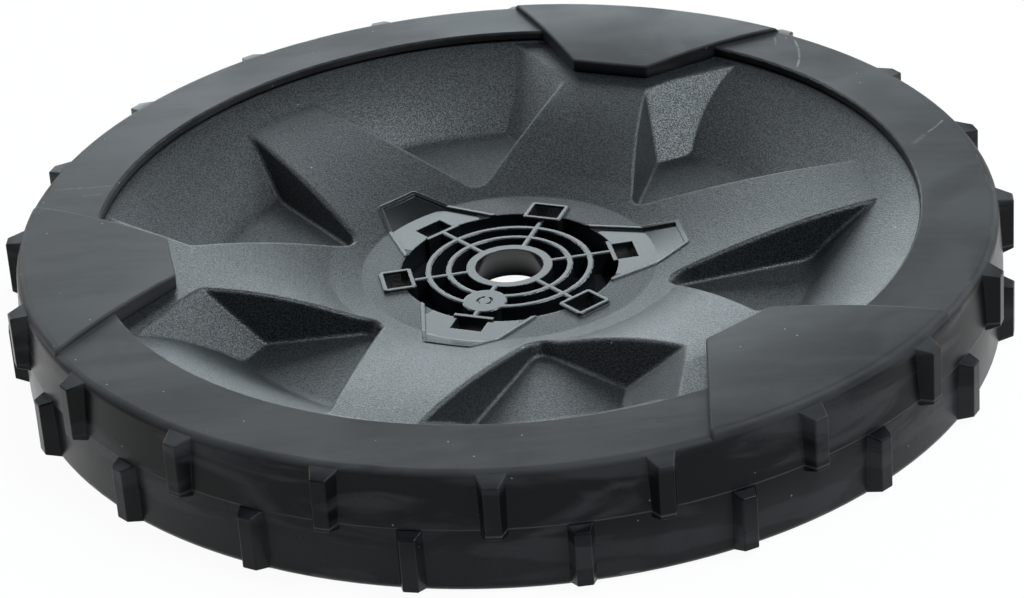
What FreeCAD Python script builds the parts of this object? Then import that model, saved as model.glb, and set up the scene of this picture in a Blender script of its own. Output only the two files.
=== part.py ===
import FreeCAD
import Part
import math
import os

# Lawn mower wheel: a moulded plastic rim held in a moulded rubber tyre.
# Millimetres. The wheel lies on its back with the axle along Z: the outer face looks up,
# and the tyre's back edge stands at Z = 0.

# Axle and hub
axle_bore_dia = 15.0
hub_boss_dia = 19.0
hub_face_height = 14.3
hub_thickness = 6.6
hub_disc_dia = 65.0
hub_back_dia = 64.0
hub_well_dia = 47.8
hub_well_depth = 5.2
inner_ring_dia = 28.2
outer_ring_dia = 37.2
ring_wall = 1.5
hub_rib_width = 1.3
rib_edge_round = 0.35
gate_pad_dia = 9.8
gate_pad_place = 16.0
gate_mark_dia = 3.6
gate_mark_width = 0.5
gate_mark_depth = 0.3

# Sockets and tabs for a hub cover
collar_place = 24.9
collar_rise = 0.6
socket_length = 5.4
socket_width = 7.0
socket_wall = 1.0
socket_edge_round = 0.3
tab_socket_place = 25.9
tab_socket_length = 4.8
tab_recess = 0.35
tab_bead_width = 0.9
tab_bead_rise = 0.25
tab_root_place = 20.3
tab_root_width = 24.6
tab_bend_place = 32.2
tab_bend_width = 15.0
tab_end_place = 38.5
tab_end_width = 9.3

# Spokes
first_spoke_angle = 8.5
spoke_pairs = 3
spoke_foot_place = 46.0
plain_foot_width = 32.6
plain_lean = 0.30
pad_foot_width = 34.6
pad_lean = 0.40
spoke_taper = 0.10
ramp_place = 56.2
ramp_angle = 48.5
ramp_lean = 1.07
crest_root_dia = 79.0
crest_root_rise = 2.2
plain_crest_dia = 170.0
plain_crest_rise = 8.6
plain_crest_bow = 1.38
pad_crest_dia = 150.0
pad_crest_rise = 11.5
pad_crest_bow = 1.9
apex_radius = 3.3
crease_radius = 1.2
crest_edge_radius = 0.9
foot_radius = 0.8

# Dish and barrel of the rim
pocket_floor_drop = 1.4
floor_edge_dia = 132.0
floor_edge_radius = 6.0
bowl_bow = 1.4
face_edge_dia = 179.4
rim_edge_height = 26.1
wall = 2.6
barrel_dia = 202.0

# Tyre
tyre_fit = 0.1
tyre_lip_thickness = 1.5
tyre_lip_reach = 2.4
foot_band_dia = 214.0
parting_height = 14.9
parting_dia = 214.9
parting_step = 0.2
shoulder_dia = 213.4
shoulder_height = 27.55
edge_round = 2.0
flange_height = 28.4
flange_edge_round = 0.5
flange_foot_relief = 0.4
pad_rise = 1.05
pad_tip_place = 73.2
pad_tip_width = 17.7
pad_tip_height = 28.55
pad_outer_place = 99.9
pad_outer_width = 65.4
pad_shoulder_dia = 212.6
pad_corner_round = 1.2
pad_edge_round = 0.5

# Tread lugs
lugs_per_row = 20
lug_circle_dia = 220.0
lug_tip_width = 3.2
lug_foot_width = 5.2
lug_root_dia = 209.8
lug_edge_round = 0.35
lug_end_slope = 0.25
upper_row_angle = 248.4
upper_lug_top = 25.9
upper_lug_bottom = 14.0
lower_lug_top = 13.9
lower_lug_bottom = 1.8

# Places worked out from the sizes above
ORIGIN = FreeCAD.Vector(0, 0, 0)
AXLE = FreeCAD.Vector(0, 0, 1)
TOUCH = 0.001
bore_r = axle_bore_dia / 2
boss_r = hub_boss_dia / 2
hub_r = hub_disc_dia / 2
hub_back_r = hub_back_dia / 2
well_r = hub_well_dia / 2
barrel_r = barrel_dia / 2
barrel_foot = tyre_lip_thickness + tyre_fit
lug_tip_r = lug_circle_dia / 2
hub_back_height = hub_face_height - hub_thickness
well_floor_height = hub_face_height - hub_well_depth
rib_root_height = (hub_back_height + well_floor_height) / 2
pocket_floor_height = hub_face_height - pocket_floor_drop
floor_back_height = pocket_floor_height - wall
tab_floor_height = hub_face_height - tab_recess
above_all = flange_height + pad_rise + wall
crest_root = (crest_root_dia / 2, hub_face_height + crest_root_rise)
plain_crest = (plain_crest_dia / 2, hub_face_height + plain_crest_rise)
pad_crest = (pad_crest_dia / 2, hub_face_height + pad_crest_rise)
floor_edge = (floor_edge_dia / 2, pocket_floor_height)
face_edge = (face_edge_dia / 2, rim_edge_height)
spoke_end_r = barrel_r - wall / 2
spoke_core_end_r = barrel_r - 2 * wall
plain_angles = [first_spoke_angle + 360 / spoke_pairs * k for k in range(spoke_pairs)]
pad_angles = [angle + 180 / spoke_pairs for angle in plain_angles]


def section(start, *steps):
    """A closed (r, z) section; a step is a corner, or a point on an arc with the arc's end."""
    edges = []
    here = FreeCAD.Vector(start[0], 0, start[1])
    for step in steps + (start,):
        bent = isinstance(step[0], tuple)
        r, z = step[1] if bent else step
        end = FreeCAD.Vector(r, 0, z)
        if bent:
            through = FreeCAD.Vector(step[0][0], 0, step[0][1])
            edges.append(Part.Arc(here, through, end).toShape())
        else:
            edges.append(Part.LineSegment(here, end).toShape())
        here = end
    return Part.Face(Part.Wire(edges))


def turned(*outline):
    """The solid that a section sweeps round the axle."""
    return section(*outline).revolve(ORIGIN, AXLE, 360)


def bowed(start, end, bow):
    """The arc step to end whose middle stands bow above the straight line from start."""
    return (((start[0] + end[0]) / 2, (start[1] + end[1]) / 2 + bow), end)


def at_angle(shape, angle):
    """A copy of a shape turned about the axle."""
    copy = shape.copy()
    copy.rotate(ORIGIN, AXLE, angle)
    return copy


def prism(outline, low, high):
    """An upright prism over an (x, y) outline."""
    corners = [FreeCAD.Vector(x, y, low) for x, y in outline]
    face = Part.Face(Part.makePolygon(corners + corners[:1]))
    return face.extrude(FreeCAD.Vector(0, 0, high - low))


def block(start, end, width, low, high):
    """A block along +X from start to end, centred on the X axis."""
    half = width / 2
    return prism([(start, -half), (end, -half), (end, half), (start, half)], low, high)


def mirrored(half_outline):
    """A whole (x, y) outline from its half at positive y, listed from the tip outwards."""
    return half_outline + [(x, -y) for x, y in reversed(half_outline)]


def crossing(first, second):
    """Where two lines, each a point and a direction, cross."""
    (ax, ay), (adx, ady) = first
    (bx, by), (bdx, bdy) = second
    share = ((bx - ax) * bdy - (by - ay) * bdx) / (adx * bdy - ady * bdx)
    return (ax + adx * share, ay + ady * share)


def leaning_wedge(near_sides, inner, outer, low, high):
    """A wedge along +X between flat ends, alike on both sides of the X axis.

    Each side is a point and a direction at the height of the pocket floor, and its lean:
    how far it moves inwards for each millimetre that it rises.
    """
    far_sides = [((x, -y), (-dx, dy), lean) for (x, y), (dx, dy), lean in reversed(near_sides)]
    sides = near_sides + [((outer, 0), (0, 1), 0)] + far_sides + [((inner, 0), (0, -1), 0)]
    outlines = []
    for height in (low, high):
        lines = []
        for (x, y), (dx, dy), lean in sides:
            inset = lean * (height - pocket_floor_height) / math.hypot(dx, dy)
            lines.append(((x - dy * inset, y + dx * inset), (dx, dy)))
        corners = [crossing(lines[k - 1], lines[k]) for k in range(len(lines))]
        points = [FreeCAD.Vector(x, y, height) for x, y in corners]
        outlines.append(Part.makePolygon(points + points[:1]))
    return Part.makeLoft(outlines, True, True)


def spoke_side(foot_width, lean, thinner):
    """The straight side of a spoke at negative y, moved inwards by thinner."""
    return ((spoke_foot_place, thinner - foot_width / 2), (1, spoke_taper), lean)


def ramp_side(thinner):
    """The ramp that widens a pad spoke towards the tyre, moved inwards by thinner."""
    turn = math.radians(ramp_angle)
    foot = pad_foot_width / 2 - spoke_taper * (ramp_place - spoke_foot_place)
    inwards = (math.sin(turn) * thinner, math.cos(turn) * thinner)
    return ((ramp_place + inwards[0], inwards[1] - foot), (math.cos(turn), -math.sin(turn)), ramp_lean)


def spoke_wedges(thinner=0.0):
    """The spokes' sides as one upright body, or with thinner set, the sides of their cores."""
    inner = hub_back_r + thinner if thinner else hub_boss_dia
    low = floor_back_height - thinner
    plain_sides = [spoke_side(plain_foot_width, plain_lean, thinner)]
    pad_sides = [spoke_side(pad_foot_width, pad_lean, thinner), ramp_side(thinner)]
    plain = leaning_wedge(plain_sides, inner, barrel_r, low, above_all)
    padded = leaning_wedge(pad_sides, inner, barrel_r, low, above_all)
    wedges = [at_angle(plain, angle) for angle in plain_angles]
    wedges += [at_angle(padded, angle) for angle in pad_angles]
    return wedges[0].multiFuse(wedges[1:]).removeSplitter()


def crests(drop=0.0):
    """The volume under the crests of all spokes, lowered by drop."""
    def lowered(point):
        return (point[0], point[1] - drop)
    low = floor_back_height - drop
    end_r = spoke_core_end_r if drop else spoke_end_r
    half_pocket = 180 / spoke_pairs / 2
    middle = bowed(plain_crest, crest_root, plain_crest_bow)[0]
    plain = turned((boss_r, low), (end_r, low), lowered((end_r, plain_crest[1])),
                   lowered(plain_crest), (lowered(middle), lowered(crest_root)),
                   lowered((hub_r, hub_face_height)), lowered((boss_r, hub_face_height)))
    middle = bowed(pad_crest, crest_root, pad_crest_bow)[0]
    raised = section((crest_root[0], low), (end_r, low), lowered((end_r, pad_crest[1])),
                     lowered(pad_crest), (lowered(middle), lowered(crest_root)))
    raised = at_angle(raised, -half_pocket).revolve(ORIGIN, AXLE, 2 * half_pocket)
    plain = at_angle(plain, first_spoke_angle + half_pocket)
    return plain.multiFuse([at_angle(raised, angle) for angle in pad_angles])


def radius_at(point):
    return math.hypot(point.x, point.y)


def follows_circle(edge):
    """True for an edge that keeps one distance from the axle."""
    radii = [radius_at(point) for point in edge.discretize(5)]
    return max(radii) - min(radii) < TOUCH


def climbing_edges(body, nearest, farthest):
    """The slanting edges of a wedge body whose middles lie between two distances from the axle."""
    edges = []
    for edge in body.Edges:
        box = edge.BoundBox
        slants = box.ZLength > hub_thickness and box.DiagonalLength > box.ZLength + TOUCH
        if slants and nearest < radius_at(edge.CenterOfMass) < farthest:
            edges.append(edge)
    return edges


def star():
    """The spokes as one body with rounded pocket ends, creases and crest edges."""
    body = spoke_wedges()
    body = body.makeFillet(apex_radius, climbing_edges(body, 0, spoke_foot_place))
    body = body.makeFillet(crease_radius, climbing_edges(body, ramp_place, face_edge[0]))
    body = body.common(crests())
    brow = hub_face_height + TOUCH
    crest_edges = [edge for edge in body.Edges if edge.BoundBox.ZMin > brow and not follows_circle(edge)]
    return body.makeFillet(crest_edge_radius, crest_edges)


def dish():
    """The turned part of the rim: hub, pocket floor, bowl, edge and barrel."""
    back_shift = wall / 2
    back_floor = (floor_edge[0] + back_shift, floor_back_height)
    back_edge = (face_edge[0] + back_shift, rim_edge_height - wall)
    body = turned((bore_r, hub_back_height), (hub_back_r, hub_back_height), (hub_back_r, floor_back_height),
                  back_floor, bowed(back_floor, back_edge, bowl_bow), (barrel_r - wall, back_edge[1]),
                  (barrel_r - wall, barrel_foot), (barrel_r, barrel_foot), (barrel_r, rim_edge_height),
                  face_edge, bowed(face_edge, floor_edge, bowl_bow), (hub_r, pocket_floor_height),
                  (hub_r, hub_face_height), (bore_r, hub_face_height))
    body = at_angle(body, first_spoke_angle)
    rim_of_floor = [edge for edge in body.Edges if follows_circle(edge)
                    and abs(radius_at(edge.Vertexes[0].Point) - floor_edge[0]) < TOUCH
                    and abs(edge.Vertexes[0].Z - pocket_floor_height) < TOUCH]
    return body.makeFillet(floor_edge_radius, rim_of_floor)


def front_faces(plate):
    """The faces of the dish that look up between the hub and the tyre."""
    faces = []
    for face in plate.Faces:
        u_low, u_high, v_low, v_high = face.ParameterRange
        middle = ((u_low + u_high) / 2, (v_low + v_high) / 2)
        looks_up = face.normalAt(*middle).z > TOUCH
        if looks_up and hub_r < radius_at(face.valueAt(*middle)) < face_edge[0]:
            faces.append(face)
    return Part.Compound(faces)


def lies_on(edge, shape):
    """True for an edge that lies on a shape all along."""
    return all(Part.Vertex(point).distToShape(shape)[0] < TOUCH for point in edge.discretize(5))


def rim_form():
    """The rim with its pockets, before the hub is worked and the spokes are cored."""
    plate = dish()
    spokes = star()
    front = front_faces(plate)
    form = plate.fuse(spokes)
    feet = [edge for edge in form.Edges if lies_on(edge, front) and lies_on(edge, spokes)]
    return form.makeFillet(foot_radius, feet)


def quarter(centre, radius, angle):
    """The arc step round centre that turns a quarter circle, with its middle at angle."""
    def at(turn):
        turn = math.radians(turn)
        return (centre[0] + radius * math.cos(turn), centre[1] + radius * math.sin(turn))
    return (at(angle), at(angle + 45))


def ring(diameter):
    """A ring rib of the hub with its upper edges rounded."""
    outer = diameter / 2
    inner = outer - ring_wall
    brow = hub_face_height - rib_edge_round
    return turned((inner, rib_root_height), (outer, rib_root_height), (outer, brow),
                  quarter((outer - rib_edge_round, brow), rib_edge_round, 45),
                  (inner + rib_edge_round, hub_face_height),
                  quarter((inner + rib_edge_round, brow), rib_edge_round, 135))


def upper_edges(body, height):
    return [edge for edge in body.Edges if edge.BoundBox.ZMin > height - TOUCH]


def rib(end):
    """A rib of the hub along +X from the boss to end, with its upper edges rounded."""
    start = (bore_r + boss_r) / 2
    body = block(start, end, hub_rib_width, rib_root_height, hub_face_height)
    long_edges = [edge for edge in upper_edges(body, hub_face_height) if edge.BoundBox.YLength < TOUCH]
    return body.makeFillet(rib_edge_round, long_edges)


def gate_pad():
    """The round pad where the plastic entered, along +X, with its ring mark."""
    place = FreeCAD.Vector(gate_pad_place, 0, rib_root_height)
    body = Part.makeCylinder(gate_pad_dia / 2, hub_face_height - rib_root_height, place)
    body = body.makeFillet(rib_edge_round, upper_edges(body, hub_face_height))
    place.z = hub_face_height - gate_mark_depth
    mark = Part.makeCylinder(gate_mark_dia / 2, gate_mark_depth, place)
    core = Part.makeCylinder(gate_mark_dia / 2 - gate_mark_width, gate_mark_depth, place)
    return body.cut(mark.cut(core))


def socket_walls(place, length, top):
    """The walls round a socket along +X, with rounded corners."""
    reach = length / 2 + socket_wall
    body = block(place - reach, place + reach, socket_width + 2 * socket_wall, rib_root_height, top)
    body = body.makeFillet(socket_wall, [edge for edge in body.Edges if edge.BoundBox.ZLength > TOUCH])
    return body.makeFillet(socket_edge_round, upper_edges(body, top))


def socket_hole(place, length):
    return block(place - length / 2, place + length / 2, socket_width, hub_back_height - wall, above_all)


def tab_prism(spread=0.0):
    """An upright prism over the outline of a cover tab along +X, widened round its corners by spread."""
    outline = mirrored([(tab_root_place, tab_root_width / 2), (tab_bend_place, tab_bend_width / 2),
                        (tab_end_place, tab_end_width / 2)])
    corners = [FreeCAD.Vector(x, y, rib_root_height) for x, y in outline]
    face = Part.Face(Part.makePolygon(corners + corners[:1]))
    if spread:
        face = face.makeOffset2D(spread)
    return face.extrude(AXLE * (above_all - rib_root_height))


def under_hub_face(rise):
    """The volume under the hub's face and the roots of the spokes, raised by rise."""
    end_r = tab_end_place + wall
    slope = crest_root_rise / (crest_root[0] - hub_r)
    end_height = hub_face_height + slope * (end_r - hub_r)
    body = turned((well_r, rib_root_height), (end_r, rib_root_height), (end_r, end_height + rise),
                  (hub_r, hub_face_height + rise), (well_r, hub_face_height + rise))
    return at_angle(body, 180)


def tab_bead():
    """The low bead along +X round the recess of a cover tab."""
    return tab_prism(tab_bead_width).cut(tab_prism()).common(under_hub_face(tab_bead_rise))


def rim(form):
    """The rim: its form with the hub's well, ribs and sockets, and the cores behind the spokes."""
    well = turned((boss_r, well_floor_height), (well_r, well_floor_height), (well_r, above_all),
                  (boss_r, above_all))
    recess = tab_prism().cut(under_hub_face(-tab_recess))
    sunk = [well] + [at_angle(recess, angle) for angle in plain_angles]
    added = [ring(inner_ring_dia), ring(outer_ring_dia), at_angle(gate_pad(), plain_angles[-1])]
    removed = [spoke_wedges(wall).common(crests(wall))]
    for angle in plain_angles:
        hole_start = tab_socket_place - tab_socket_length / 2
        ridge = block(hole_start - socket_wall, hole_start, socket_width + 2 * socket_wall, rib_root_height,
                      hub_face_height)
        walls = socket_walls(tab_socket_place, tab_socket_length, tab_floor_height)
        added += [at_angle(piece, angle) for piece in (walls, ridge, rib(hole_start), tab_bead())]
        removed += [at_angle(socket_hole(tab_socket_place, tab_socket_length), angle)]
    for angle in pad_angles:
        walls = socket_walls(collar_place, socket_length, hub_face_height + collar_rise)
        added += [at_angle(walls, angle), at_angle(rib(collar_place - socket_length / 2), angle)]
        removed += [at_angle(socket_hole(collar_place, socket_length), angle)]
    return form.cut(Part.Compound(sunk)).multiFuse(added).cut(Part.Compound(removed))


def tyre_ring():
    """The turned part of the tyre: tread band, flange over the rim's edge, and lip behind it."""
    foot_r = foot_band_dia / 2
    shoulder_r = shoulder_dia / 2
    seat = rim_edge_height + tyre_fit
    bed_r = barrel_r + tyre_fit
    lip_r = barrel_r - tyre_lip_reach
    foot_centre = (foot_r - edge_round, edge_round)
    shoulder_centre = (shoulder_r - edge_round, shoulder_height - edge_round)
    edge_centre = (face_edge[0] + flange_edge_round, flange_height - flange_edge_round)
    return turned((lip_r, 0), (foot_centre[0], 0), quarter(foot_centre, edge_round, -45),
                  (parting_dia / 2 - parting_step, parting_height), (parting_dia / 2, parting_height),
                  (shoulder_r, shoulder_centre[1]), quarter(shoulder_centre, edge_round, 45),
                  (edge_centre[0], flange_height), quarter(edge_centre, flange_edge_round, 135),
                  (face_edge[0], seat + flange_foot_relief), (face_edge[0] + flange_foot_relief, seat),
                  (bed_r, seat), (bed_r, tyre_lip_thickness), (lip_r, tyre_lip_thickness))


def tyre_pad(form):
    """A raised pad of the flange that reaches in over the first pad spoke."""
    shoulder_r = pad_shoulder_dia / 2
    low = pad_crest[1] - pad_rise
    tip = (pad_tip_place, pad_tip_width / 2)
    outer = (pad_outer_place, pad_outer_width / 2)
    beyond = (2 * outer[0] - tip[0], 2 * outer[1] - tip[1])
    body = prism(mirrored([tip, beyond]), low, above_all)
    corners = [edge for edge in body.Edges if edge.BoundBox.ZLength > TOUCH
               and edge.BoundBox.XMax < pad_outer_place]
    body = body.makeFillet(pad_corner_round, corners)
    centre = (shoulder_r - edge_round, shoulder_height + pad_rise - edge_round)
    crown = (face_edge[0], flange_height + pad_rise)
    inner = (pad_tip_place - pad_rise, pad_tip_height)
    envelope = turned((inner[0], low), (shoulder_r, low), (shoulder_r, centre[1]),
                      quarter(centre, edge_round, 45), (crown, inner))
    body = at_angle(body, pad_angles[0]).common(at_angle(envelope, plain_angles[0]))
    brows = [edge for edge in upper_edges(body, centre[1]) if not follows_circle(edge)]
    body = body.makeFillet(pad_edge_round, brows)
    raised = form.copy()
    raised.translate(AXLE * tyre_fit)
    seat = Part.makeCylinder(barrel_r + tyre_fit, rim_edge_height + tyre_fit)
    return body.cut(raised).cut(seat.cut(Part.makeCylinder(face_edge[0], rim_edge_height + tyre_fit)))


def lug(top, bottom):
    """A tread lug along +X, narrower and shorter at its outer face."""
    outlines = []
    for radius in (lug_root_dia / 2, lug_tip_r):
        depth = lug_tip_r - radius
        spread = depth / (lug_tip_r - parting_dia / 2)
        half = (lug_tip_width + (lug_foot_width - lug_tip_width) * spread) / 2
        high = top + lug_end_slope * depth
        low = bottom - lug_end_slope * depth
        outline = [(-half, low), (half, low), (half, high), (-half, high)]
        corners = [FreeCAD.Vector(radius, y, z) for y, z in outline]
        outlines.append(Part.makePolygon(corners + corners[:1]))
    body = Part.makeLoft(outlines, True, True)
    tip_edges = [edge for edge in body.Edges if edge.BoundBox.XMax > lug_tip_r - TOUCH]
    return body.makeFillet(lug_edge_round, tip_edges)


def tyre(form):
    """The tyre: its turned ring with the pads and both rows of lugs."""
    pad = tyre_pad(form)
    pads = [at_angle(pad, angle - pad_angles[0]) for angle in pad_angles]
    body = at_angle(tyre_ring(), plain_angles[0]).multiFuse(pads)
    lugs = []
    pitch = 360 / lugs_per_row
    upper = lug(upper_lug_top, upper_lug_bottom)
    lower = lug(lower_lug_top, lower_lug_bottom)
    for k in range(lugs_per_row):
        lugs.append(at_angle(upper, upper_row_angle + k * pitch))
        lugs.append(at_angle(lower, upper_row_angle + (k + 0.5) * pitch))
    return body.multiFuse(lugs)


os.makedirs("parts", exist_ok=True)
whole_form = rim_form()
rim(whole_form).removeSplitter().exportStep("parts/rim.step")
tyre(whole_form).removeSplitter().exportStep("parts/tyre.step")
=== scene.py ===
# %% [markdown]
# # A lawn mower wheel
# The wheel is two mouldings: a dished rim of hard charcoal plastic and a black rubber tyre round it.
# Their shapes come from the packed frame, so this lesson is about the finishes: spark-eroded grain on
# the rim, polished steel-tool gloss at its hub, and satin rubber with the marks of its moulding and use.

# %% Load the frame
import math

import bpy
import bmesh
from mathutils import Matrix, Vector

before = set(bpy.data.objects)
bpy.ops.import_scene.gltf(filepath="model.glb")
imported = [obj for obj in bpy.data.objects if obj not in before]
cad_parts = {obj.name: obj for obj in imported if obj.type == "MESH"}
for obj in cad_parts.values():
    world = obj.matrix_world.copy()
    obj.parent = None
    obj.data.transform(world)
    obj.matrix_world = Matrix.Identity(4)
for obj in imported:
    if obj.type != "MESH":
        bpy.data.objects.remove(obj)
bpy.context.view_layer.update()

MM = 0.001
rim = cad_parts["rim"]
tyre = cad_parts["tyre"]


# %% [markdown]
# ## Wiring nodes from a script
# A finish is a small graph of nodes. Made by hand in the editor, each node is placed and wired with the
# mouse; in a script the same wiring gets long. This workbench keeps it readable: it starts a material
# with its shader, adds nodes, and joins each value to a socket. Every pattern reads Object coordinates,
# which are metres here, so a scale of 1000 means one wave each millimetre.

# %% A workbench for nodes
class Workbench:
    """A material under construction: its shader, and the object's own coordinates."""

    def __init__(self, name):
        self.material = bpy.data.materials.new(name)
        self.material.use_nodes = True
        self.tree = self.material.node_tree
        self.shader = self.tree.nodes["Principled BSDF"]
        self.place = self.node("ShaderNodeTexCoord").outputs["Object"]

    def node(self, kind, settings=None, **inputs):
        """A new node with its settings, and its inputs set or wired by name."""
        made = self.tree.nodes.new(kind)
        for key, value in (settings or {}).items():
            setattr(made, key, value)
        for key, value in inputs.items():
            self.join(made.inputs[key.replace("_", " ")], value)
        return made

    def join(self, socket, value):
        """A wire from an output to a socket, or a plain value set on it."""
        if isinstance(value, bpy.types.NodeSocket):
            self.tree.links.new(value, socket)
        else:
            socket.default_value = value

    def shade(self, **inputs):
        """Sets or wires inputs of the shader by name."""
        for key, value in inputs.items():
            self.join(self.shader.inputs[key.replace("_", " ")], value)

    def wear(self, node):
        """Puts the finish on an object."""
        node.data.materials.clear()
        node.data.materials.append(self.material)
        print(node.name, "wears", self.material.name, "with", len(self.tree.nodes), "nodes")


print("workbench:", [way for way in vars(Workbench) if not way.startswith("_")])


# %% [markdown]
# ## Reckoning with values
# A recipe asks questions of each point: how far from the axle is it, how high, how pale? Each answer is
# a value that runs through nodes of arithmetic. They could be wired one by one in each recipe; as a few
# named ways of the workbench they read like the question itself.

# %% Arithmetic, ramps and blends
class Finish(Workbench):
    """A material whose values are worked out from the place of each point."""

    def axes(self):
        """The object's coordinates apart, by the names X, Y and Z."""
        return self.node("ShaderNodeSeparateXYZ", Vector=self.place).outputs

    def reckon(self, operation, first, second=0.0, third=0.0):
        """One step of arithmetic on values."""
        made = self.node("ShaderNodeMath", {"operation": operation})
        for socket, value in zip(made.inputs, (first, second, third)):
            self.join(socket, value)
        return made.outputs[0]

    def product(self, first, *others):
        """Values multiplied by each other."""
        for other in others:
            first = self.reckon("MULTIPLY", first, other)
        return first

    def largest(self, first, *others):
        """The largest of some values."""
        for other in others:
            first = self.reckon("MAXIMUM", first, other)
        return first

    def ramp(self, value, low, high, start=0.0, end=1.0):
        """A value spread smoothly from low..high to start..end."""
        made = self.node("ShaderNodeMapRange", {"interpolation_type": "SMOOTHSTEP"}, Value=value,
                         From_Min=low, From_Max=high, To_Min=start, To_Max=end)
        return made.outputs["Result"]

    def blend(self, share, first, second):
        """A colour between two colours."""
        made = self.node("ShaderNodeMix", {"data_type": "RGBA"})
        for key, value in (("Factor", share), ("A", first), ("B", second)):
            self.join(made.inputs[key], value)
        return made.outputs["Result"]


print("finish:", [way for way in vars(Finish) if not way.startswith("_")])


# %% [markdown]
# ## Where the rim is smooth
# The tool that moulds the rim is spark-eroded on its show face and polished at the hub, so the ribs, the
# walls of the sockets and the recesses for the cover's tabs come out smooth. Painting that by hand would
# need a texture; here the border follows the shape itself. A point is smooth if it is inside the well, or
# lies above or below the hub's face within reach of a tab, or stands on a raised collar.

# %% The smooth zone of the hub
hub_face = 14.3 * MM
hub_edge = 32.5 * MM
cone_rise = 2.2 * MM
cone_reach = 7.0 * MM
well_edge = 23.9 * MM
collar_reach = 29.2 * MM
tab_reach = 40.0 * MM
tab_count = 3
first_tab = math.radians(8.5)
tab_sector = 0.3
sunk_by = 0.15 * MM
raised_by = 0.1 * MM


def smooth_zone(finish):
    """A value of 1 on the polished parts of the hub and 0 elsewhere."""
    point = finish.axes()
    y_squared = finish.product(point["Y"], point["Y"])
    radius = finish.reckon("SQRT", finish.reckon("MULTIPLY_ADD", point["X"], point["X"], y_squared))
    outside = finish.largest(finish.reckon("SUBTRACT", radius, hub_edge), 0.0)
    face = finish.reckon("MULTIPLY_ADD", outside, cone_rise / cone_reach, hub_face)
    lift = finish.reckon("SUBTRACT", point["Z"], face)
    sunk = finish.reckon("LESS_THAN", lift, -sunk_by)
    raised = finish.reckon("GREATER_THAN", lift, raised_by)
    turn = finish.reckon("SUBTRACT", finish.reckon("ARCTAN2", point["Y"], point["X"]), first_tab)
    lobe = finish.reckon("COSINE", finish.product(turn, tab_count))
    near_tab = finish.product(finish.reckon("GREATER_THAN", lobe, tab_sector),
                              finish.reckon("LESS_THAN", radius, tab_reach))
    in_tab = finish.product(finish.largest(sunk, raised), near_tab)
    in_well = finish.reckon("LESS_THAN", radius, well_edge)
    on_collar = finish.product(raised, finish.reckon("LESS_THAN", radius, collar_reach))
    return finish.largest(in_tab, in_well, on_collar)


print("smooth: well to", well_edge, "collars to", collar_reach, "tabs to", tab_reach, "m")


# %% [markdown]
# ## The rim's plastic
# The plastic is a cool charcoal. Its grain is a fine, rounded roughness a few tenths of a millimetre
# across that breaks the light into tiny specks. A photograph of grain would have to be laid over every
# slope of the dish and would show its joins; noise in space has none. A little dust from handling sits
# on the plastic as scarce pale points: each lies at the middle of a cell of a Voronoi pattern.

# %% Patterns for grain and dust
speck_core = 0.6


def noise(finish, scale, detail, rough=0.5, place=None, twist=0.0):
    """Clouds of values about one half."""
    made = finish.node("ShaderNodeTexNoise", Vector=place or finish.place, Scale=scale, Detail=detail,
                       Roughness=rough, Distortion=twist)
    return made.outputs["Fac"]


def specks(finish, scale, size, share):
    """Scattered dots: 1 inside a dot and 0 elsewhere, with a dot in a share of the cells."""
    cells = finish.node("ShaderNodeTexVoronoi", Vector=finish.place, Scale=scale).outputs
    draw = finish.node("ShaderNodeSeparateColor", Color=cells["Color"]).outputs["Red"]
    dot = finish.ramp(cells["Distance"], size, size * speck_core)
    return finish.product(dot, finish.reckon("GREATER_THAN", draw, 1.0 - share))


# %% Charcoal plastic
charcoal = (0.005, 0.006, 0.007, 1.0)
charcoal_light = (0.014, 0.017, 0.020, 1.0)
hub_black = (0.008, 0.0095, 0.011, 1.0)
dust_grey = (0.30, 0.31, 0.31, 1.0)
grain_scale = 3000.0
grain_tones = (0.36, 0.70)

plastic = Finish("charcoal plastic")
polished = smooth_zone(plastic)
grained = plastic.reckon("SUBTRACT", 1.0, polished)
grain = noise(plastic, grain_scale, detail=1.0)
tone = plastic.blend(plastic.ramp(grain, *grain_tones), charcoal, charcoal_light)
tone = plastic.blend(polished, tone, hub_black)
dust = specks(plastic, scale=300.0, size=0.075, share=0.04)
plastic.shade(Base_Color=plastic.blend(dust, tone, dust_grey))
print("plastic: tone, with", len(plastic.tree.nodes), "nodes so far")


# %% [markdown]
# ## The gloss of the plastic
# Dark plastic is seen by its gloss more than by its colour. One even roughness would look like paint, so
# here the crests of the grain glint and the hollows between them don't, the polished hub is sharper, and
# slow clouds change the gloss a little over the dish. Deep in the hub the walls are dull and their glints
# fade to nothing, a painted shade that keeps them black.

# %% Gloss and glints
grain_dullness = 0.38
hub_dullness = 0.14
deep_dullness = 0.65
cloud_dullness = 0.10
cloud_scale = 45.0
grain_glints = (0.34, 0.68, 0.30, 0.78)
hub_glint = 0.70
deep_shade_glint = 0.0
deep_low = 7.5 * MM
deep_high = 13.0 * MM

above_floor = plastic.axes()["Z"]
hub_dull = plastic.ramp(above_floor, deep_low, deep_high, deep_dullness, hub_dullness)
dull = plastic.reckon("MULTIPLY_ADD", grained, grain_dullness, plastic.product(polished, hub_dull))
cloud = noise(plastic, cloud_scale, detail=3.0, rough=0.6)
dull = plastic.reckon("MULTIPLY_ADD", cloud, cloud_dullness, dull)
# Deep in the hub the glint falls to nothing: painted shade in place of the reflections there.
hub_shine_and_shade = plastic.ramp(above_floor, deep_low, deep_high, deep_shade_glint, hub_glint)
glint = plastic.reckon("MULTIPLY_ADD", grained, plastic.ramp(grain, *grain_glints),
                       plastic.product(polished, hub_shine_and_shade))
plastic.shade(Roughness=dull, Specular_IOR_Level=glint)
print("plastic: gloss, with", len(plastic.tree.nodes), "nodes so far")


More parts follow.
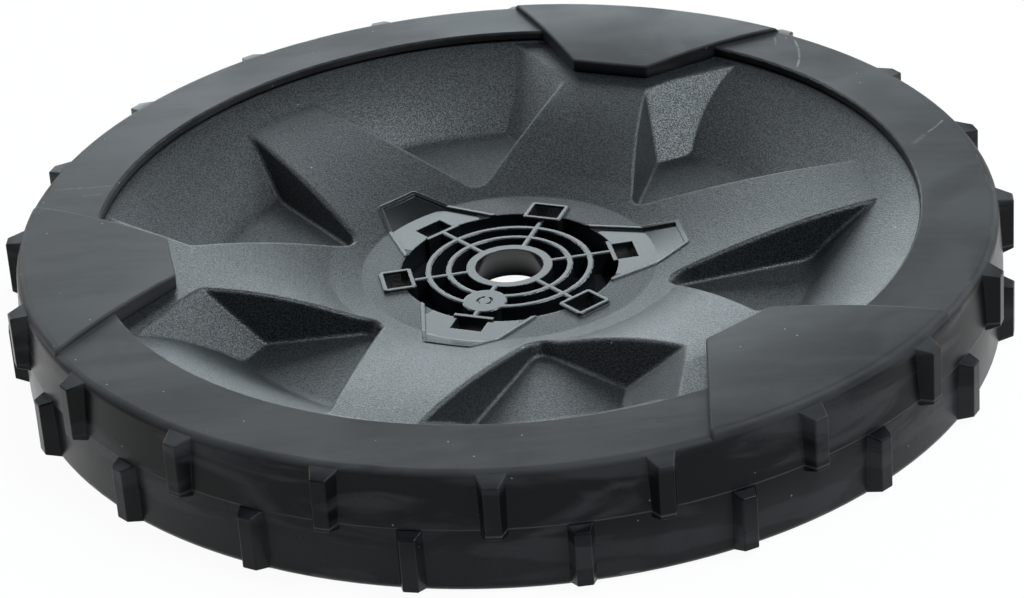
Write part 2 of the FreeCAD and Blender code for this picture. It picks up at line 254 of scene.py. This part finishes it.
# %% [markdown]
# ## Grain and soft edges
# No moulded edge is quite sharp. The larger radii are in the solids; the last few tenths of a millimetre
# could be cut there too, at the cost of many small faces. A Bevel node does it in the finish: it turns
# the normal near an edge, so that the edge catches the light. The ribs are thin, so their radius is
# smaller than that of the spokes.

# %% Grain and edges of the rim
edge_probes = 6
spoke_edge = 0.9 * MM
rib_edge = 0.3 * MM
grain_strength = 0.60
grain_height = 0.14 * MM


def rounded(finish, radius):
    """The surface's normal, as if each sharp edge had a small radius."""
    return finish.node("ShaderNodeBevel", {"samples": edge_probes}, Radius=radius).outputs["Normal"]


def bump(finish, height, strength, distance, under):
    """A normal that follows a pattern of heights, on top of another normal."""
    made = finish.node("ShaderNodeBump", Height=height, Strength=strength, Distance=distance,
                       Normal=under)
    return made.outputs["Normal"]


edges = rounded(plastic, plastic.ramp(polished, 0.0, 1.0, spoke_edge, rib_edge))
crests = plastic.product(grain, grained)
plastic.shade(Normal=bump(plastic, crests, grain_strength, grain_height, edges))
plastic.wear(rim)


# %% [markdown]
# ## The tyre's rubber
# The tyre is a thermoplastic rubber: black, with wavy flow marks where the melt ran round the ring, a
# seam where the halves of the mould met, and a paler foot below it. The marks could be painted; stretched
# and twisted noise gives the same waves all round, because the melt too was drawn out as it ran.

# %% Black rubber
rubber_black = (0.0035, 0.0040, 0.0050, 1.0)
rubber_bloom = (0.028, 0.0285, 0.0312, 1.0)
melt_stretch = (26.0, 26.0, 105.0)
melt_twist = 1.3
melt_marks = (0.46, 0.64)
parting = 14.9 * MM
seam_edge = 0.35 * MM
seam_core = 0.10 * MM
foot_fade = 8.0 * MM
foot_share = 0.50


def stretched(finish, scales, turn=0.0):
    """The object's coordinates, scaled by axis and turned about the axle."""
    made = finish.node("ShaderNodeMapping", Vector=finish.place, Rotation=(0.0, 0.0, turn), Scale=scales)
    return made.outputs["Vector"]


rubber = Finish("black rubber")
at = rubber.axes()
melt = noise(rubber, 1.0, detail=4.0, place=stretched(rubber, melt_stretch), twist=melt_twist)
foot = rubber.ramp(at["Z"], parting, parting - foot_fade)
from_seam = rubber.reckon("ABSOLUTE", rubber.reckon("SUBTRACT", at["Z"], parting))
seam = rubber.ramp(from_seam, seam_edge, seam_core)
bloom = rubber.largest(rubber.ramp(melt, *melt_marks), rubber.product(foot, foot_share), seam)
tone = rubber.blend(bloom, rubber_black, rubber_bloom)
print("rubber: flow marks, seam and foot, with", len(rubber.tree.nodes), "nodes so far")


# %% [markdown]
# ## The film on the flange
# A thin dull film lies on the flange and the pads, thicker towards one side, cloudy, and wiped into
# faint streaks by handling. It could be painted onto a map of the surface. Here the height of a point
# says whether it is on top, and three patterns multiplied by each other say how thick the film is there,
# so no map is needed.

# %% Film on the flange and pads
rubber_film = (0.0560, 0.0544, 0.0552, 1.0)
film_low = 25.4 * MM
film_high = 27.6 * MM
handled_x = -0.9
handled_y = -0.5
handled_film = (-130.0 * MM, 80.0 * MM, 0.55, 1.0)
flow_scale = 28.0
flow_film = (0.30, 0.70, 0.50, 1.05)
wipe_turn = 0.35
wipe_stretch = (16.0, 95.0, 60.0)
wipe_film = (0.34, 0.66, 0.72, 1.20)

on_top = rubber.ramp(at["Z"], film_low, film_high)
handled = rubber.reckon("MULTIPLY_ADD", at["X"], handled_x, rubber.product(at["Y"], handled_y))
flow = noise(rubber, flow_scale, detail=5.0, rough=0.62)
wiped = noise(rubber, 1.0, detail=5.0, rough=0.62, place=stretched(rubber, wipe_stretch, wipe_turn))
film = rubber.product(on_top, rubber.ramp(handled, *handled_film), rubber.ramp(flow, *flow_film),
                      rubber.ramp(wiped, *wipe_film))
tone = rubber.blend(film, tone, rubber_film)
print("rubber: film, with", len(rubber.tree.nodes), "nodes so far")


# %% [markdown]
# ## Scratches and scuffs
# The flange was scratched in use. A scratch could be a thin strip of mesh, but it has no height, so it
# belongs to the finish. Each one is drawn from one place to another, with a bow, by two sums: how far
# along the line a point is, and how far beside it.

# %% One scratch
scratch_core = 0.3
scratch_fade = 0.42
halfway = 0.5


def scratch(start, end, bow, width, strength):
    """A thin mark on the tyre between two places, in millimetres: the share of grey at each point."""
    start = Vector(start) * MM
    end = Vector(end) * MM
    length = (end - start).length
    run = (end - start) / length
    behind = -start.dot(run) / length
    beside = start.x * run.y - start.y * run.x
    share = rubber.reckon("MULTIPLY_ADD", at["X"], run.x / length,
                          rubber.reckon("MULTIPLY_ADD", at["Y"], run.y / length, behind))
    side = rubber.reckon("MULTIPLY_ADD", at["X"], -run.y,
                         rubber.reckon("MULTIPLY_ADD", at["Y"], run.x, beside))
    arc = rubber.product(share, rubber.reckon("SUBTRACT", 1.0, share), bow * MM / halfway ** 2)
    off = rubber.reckon("ABSOLUTE", rubber.reckon("SUBTRACT", side, arc))
    from_middle = rubber.reckon("ABSOLUTE", rubber.reckon("SUBTRACT", share, halfway))
    line = rubber.ramp(off, width * MM, scratch_core * width * MM)
    return rubber.product(line, rubber.ramp(from_middle, halfway, scratch_fade, 0.0, strength))


# %% The scratches of this tyre
# Each row is a scratch: its start and end, its bow, its width and how pale it is.
scratches = [
    ((70.7, 76.5), (69.6, 59.0), 1.0, 0.40, 0.60),
    ((66.4, 78.1), (66.1, 72.9), 0.1, 0.35, 0.35),
    ((99.5, 28.8), (95.0, 22.3), 0.2, 0.35, 0.50),
    ((94.4, 21.6), (90.9, 16.9), 0.3, 0.90, 0.18),
    ((-100.4, 26.5), (-87.0, 25.0), 0.0, 0.45, 0.22),
    ((-94.0, 21.8), (-88.9, 21.2), 0.0, 0.45, 0.16),
]
break_scale = 700.0
breaks = (0.34, 0.58, 0.25, 1.0)

lines = rubber.largest(*[scratch(*row) for row in scratches])
broken = rubber.ramp(noise(rubber, break_scale, detail=3.0, rough=0.7), *breaks)
worn = rubber.product(lines, on_top, broken)
print("rubber:", len(scratches), "scratches, with", len(rubber.tree.nodes), "nodes so far")


# %% [markdown]
# ## Lint, and the shine of the rubber
# Pale dots of lint cling to the rubber, and the seam of the mould shows pale in places. The flange is
# satin under its film and the tread is glossier. One gloss for all would make the tyre look like a
# single sheet, so the roughness follows the film. A Bevel node softens the edges, as on the rim.

# %% Marks and shine of the rubber
scuff_grey = (0.24, 0.24, 0.24, 1.0)
seam_shows = (0.42, 0.60, 0.02, 0.11)
flow_dullness = (0.30, 0.70, 0.42, 0.58)
tread_share = 0.55
rubber_glint = 0.13
rubber_edge = 0.30 * MM
skin_scale = 900.0
skin_strength = 0.12
skin_height = 0.10 * MM

lint = specks(rubber, scale=420.0, size=0.10, share=0.10)
pale_seam = rubber.product(seam, rubber.ramp(flow, *seam_shows))
marks = rubber.largest(worn, lint, pale_seam)
dull = rubber.product(rubber.ramp(flow, *flow_dullness), rubber.ramp(on_top, 0.0, 1.0, tread_share, 1.0))
skin = noise(rubber, skin_scale, detail=3.0, rough=0.6)
edges = rounded(rubber, rubber_edge)
rubber.shade(Base_Color=rubber.blend(marks, tone, scuff_grey), Roughness=dull)
rubber.shade(Specular_IOR_Level=rubber_glint)
rubber.shade(Normal=bump(rubber, skin, skin_strength, skin_height, edges))
rubber.wear(tyre)


# %% [markdown]
# ## The floor
# The wheel lies on a plain white sweep. Lit paper never comes out quite white, and more light would spoil
# the wheel, so the floor is white by itself to the camera and to reflections. It keeps the soft shadow
# under the tyre because a share of it is still a lit surface.

# %% White floor
floor_reach = 6.0
floor_mesh = bpy.data.meshes.new("floor")
sweep = bmesh.new()
bmesh.ops.create_grid(sweep, x_segments=1, y_segments=1, size=floor_reach)
sweep.to_mesh(floor_mesh)
sweep.free()
floor = bpy.data.objects.new("floor", floor_mesh)
bpy.context.scene.collection.objects.link(floor)
print("floor:", 2 * floor_reach, "m wide")

# %% White paper
paper_grey = (0.85, 0.85, 0.85, 1.0)
paper_dullness = 0.9
pure_white = (1.0, 1.0, 1.0, 1.0)
white_share = 0.95

paper = Finish("white paper")
paper.shade(Base_Color=paper_grey, Roughness=paper_dullness, Specular_IOR_Level=0.0)
rays = paper.node("ShaderNodeLightPath").outputs
seen = paper.largest(rays["Is Camera Ray"], rays["Is Glossy Ray"], rays["Is Transmission Ray"])
white = paper.node("ShaderNodeEmission", Color=pure_white, Strength=1.0)
mixed = paper.node("ShaderNodeMixShader")
mixed_parts = (paper.product(seen, white_share), paper.shader.outputs["BSDF"], white.outputs["Emission"])
for socket, part in zip(mixed.inputs, mixed_parts):
    paper.join(socket, part)
paper.join(paper.tree.nodes["Material Output"].inputs["Surface"], mixed.outputs["Shader"])
paper.wear(floor)


# %% [markdown]
# ## Studio light
# Dark plastic shows little of its own colour and much of what it mirrors, so the light decides how its
# form reads. One lamp would leave a spot in the gloss, so ten soft sheets stand round the wheel, as the
# walls of a light tent do. The low ones behind it skim over the dish and the flange, the high one on the
# right opens the near spokes, and the one overhead lifts the hub.

# %% A light sheet
cool_white = (0.85, 0.95, 1.0)
sheet_distance = 3.2
sheet_width = 0.5 * sheet_distance
sheet_height = 0.28 * sheet_distance


def light_sheet(name, bearing, height, brightness):
    """A soft light that looks at the wheel from a bearing and a height, in degrees.

    Bearing 0 is behind the wheel and 90 to its right. Brightness 1 is that of white paper in full light.
    """
    lamp = bpy.data.lights.new(name, "AREA")
    lamp.shape = "RECTANGLE"
    lamp.size = sheet_width
    lamp.size_y = sheet_height
    lamp.color = cool_white
    lamp.energy = brightness * math.pi * lamp.size * lamp.size_y
    turn = math.radians(bearing)
    lift = math.radians(height)
    reach = sheet_distance * math.cos(lift)
    place = Vector((math.sin(turn) * reach, math.cos(turn) * reach, math.sin(lift) * sheet_distance))
    aim = (-place).to_track_quat("-Z", "Y").to_matrix().to_4x4()
    holder = bpy.data.objects.new(name, lamp)
    holder.matrix_world = Matrix.Translation(place) @ aim
    bpy.context.scene.collection.objects.link(holder)
    print("light:", name, [round(step, 2) for step in place], round(lamp.energy, 1), "W")


# %% The ring of sheets
light_sheet("back, low", bearing=-2, height=11, brightness=6.0)
light_sheet("back", bearing=-2, height=28, brightness=3.0)
light_sheet("back left, low", bearing=-40, height=16, brightness=5.6)
light_sheet("back right, low", bearing=40, height=16, brightness=4.0)
light_sheet("back left, high", bearing=-45, height=42, brightness=3.2)
light_sheet("back right, high", bearing=40, height=42, brightness=1.4)
light_sheet("left", bearing=-90, height=25, brightness=2.2)
light_sheet("right", bearing=72, height=30, brightness=6.0)
light_sheet("right, high", bearing=106, height=59, brightness=18.0)
light_sheet("overhead", bearing=0, height=88, brightness=3.2)

# %% The dim world
world_strength = 0.04
world = bpy.data.worlds.new("studio")
world.use_nodes = True
background = world.node_tree.nodes["Background"]
background.inputs["Color"].default_value = (*cool_white, 1.0)
background.inputs["Strength"].default_value = world_strength
bpy.context.scene.world = world
print("world:", world_strength)


# %% [markdown]
# ## The camera
# The camera could be moved by eye until the picture looks right. The ellipses of the wheel's edges give
# its place outright: about three quarters of a metre off, a long lens, looking down by 29 degrees, and
# held a little askew.

# %% Camera at the photograph's angle
camera_place = (0.0, -714.27 * MM, 405.59 * MM)
pan = math.radians(-0.170)
pitch = math.radians(29.221)
roll = math.radians(-4.315)
film_width = 36.0
focal_length = 130.447
sideways_shift = 0.0095

forward = Vector((math.sin(pan) * math.cos(pitch), math.cos(pan) * math.cos(pitch), -math.sin(pitch)))
level = Vector((math.cos(pan), -math.sin(pan), 0.0))
upright = level.cross(forward)
right = level * math.cos(roll) + upright * math.sin(roll)
up = upright * math.cos(roll) - level * math.sin(roll)

lens = bpy.data.cameras.new("camera")
lens.sensor_width = film_width
lens.lens = focal_length
lens.shift_x = sideways_shift
camera = bpy.data.objects.new("camera", lens)
camera.matrix_world = Matrix.Translation(camera_place) @ Matrix((right, up, -forward)).transposed().to_4x4()
bpy.context.scene.collection.objects.link(camera)
bpy.context.scene.camera = camera
bpy.context.scene.view_settings.view_transform = "Standard"
print("camera:", camera_place, "m, lens", focal_length, "mm")
